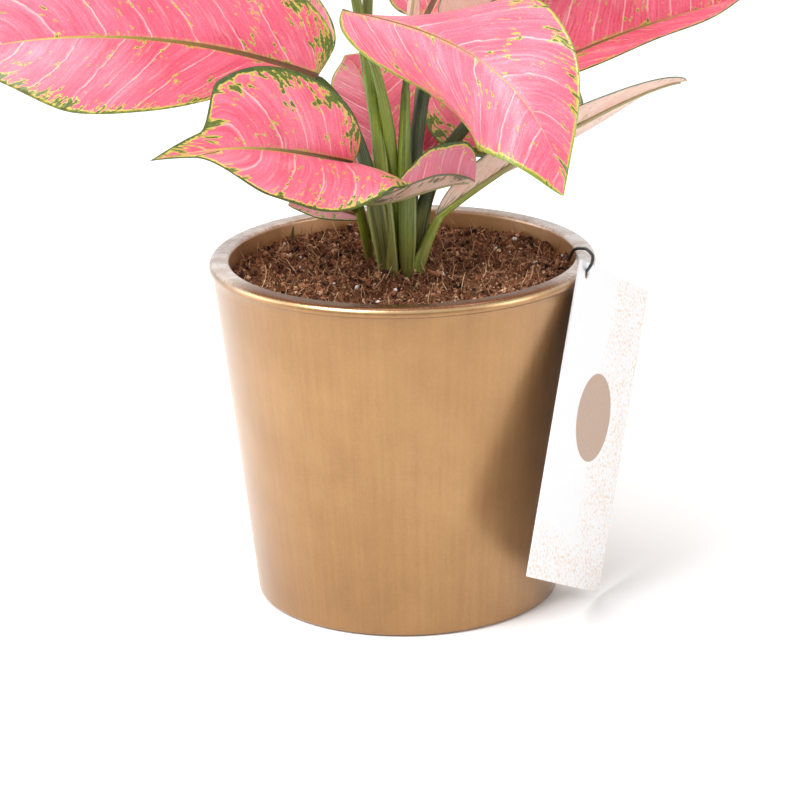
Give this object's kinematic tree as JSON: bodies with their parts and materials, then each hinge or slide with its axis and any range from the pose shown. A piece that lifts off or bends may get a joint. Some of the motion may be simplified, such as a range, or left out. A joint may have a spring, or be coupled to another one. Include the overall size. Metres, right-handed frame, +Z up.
{
  "type": "potted chinese evergreen",
  "caption": "Chinese evergreen with pink, green-edged leaves on upright stalks, in potting mix in a tapered gold-painted pot, with a plain card hung on a wire at the rim.",
  "frame": {"origin": "centre of the pot's flat underside", "axes": "+Z up the pot's axis, -Y towards the viewer of the picture, +X to the viewer's right"},
  "size_m": [0.2948, 0.248, 0.336],
  "materials": {
    "pot": "satin gold paint over ceramic",
    "soil": "loose peat and bark mix, matt",
    "crown": "pale green plant base",
    "blade": "satin leaf skin, pink with green margin",
    "stalk": "satin green plant stem",
    "card": "matt white printed card",
    "wire": "dark grey-green coated wire"
  },
  "bodies": {
    "root": {"pot": "pot", "soil": "soil", "crown": "crown", "leaf_01_blade": "blade", "leaf_01_stalk": "stalk", "leaf_02_blade": "blade", "leaf_02_stalk": "stalk", "leaf_03_blade": "blade", "leaf_03_stalk": "stalk", "leaf_04_blade": "blade", "leaf_04_stalk": "stalk", "leaf_05_blade": "blade", "leaf_05_stalk": "stalk", "leaf_06_blade": "blade", "leaf_06_stalk": "stalk", "leaf_07_blade": "blade", "leaf_07_stalk": "stalk", "leaf_08_blade": "blade", "leaf_08_stalk": "stalk", "leaf_09_blade": "blade", "leaf_09_stalk": "stalk", "leaf_10_blade": "blade", "leaf_10_stalk": "stalk", "leaf_11_blade": "blade", "leaf_11_stalk": "stalk", "leaf_12_blade": "blade", "leaf_12_stalk": "stalk", "leaf_13_blade": "blade", "leaf_13_stalk": "stalk", "leaf_14_blade": "blade", "leaf_14_stalk": "stalk", "leaf_15_blade": "blade", "leaf_15_stalk": "stalk", "tag_card": "card", "tag_hook": "wire", "sprout": "stalk"}
  },
  "joints": []
}
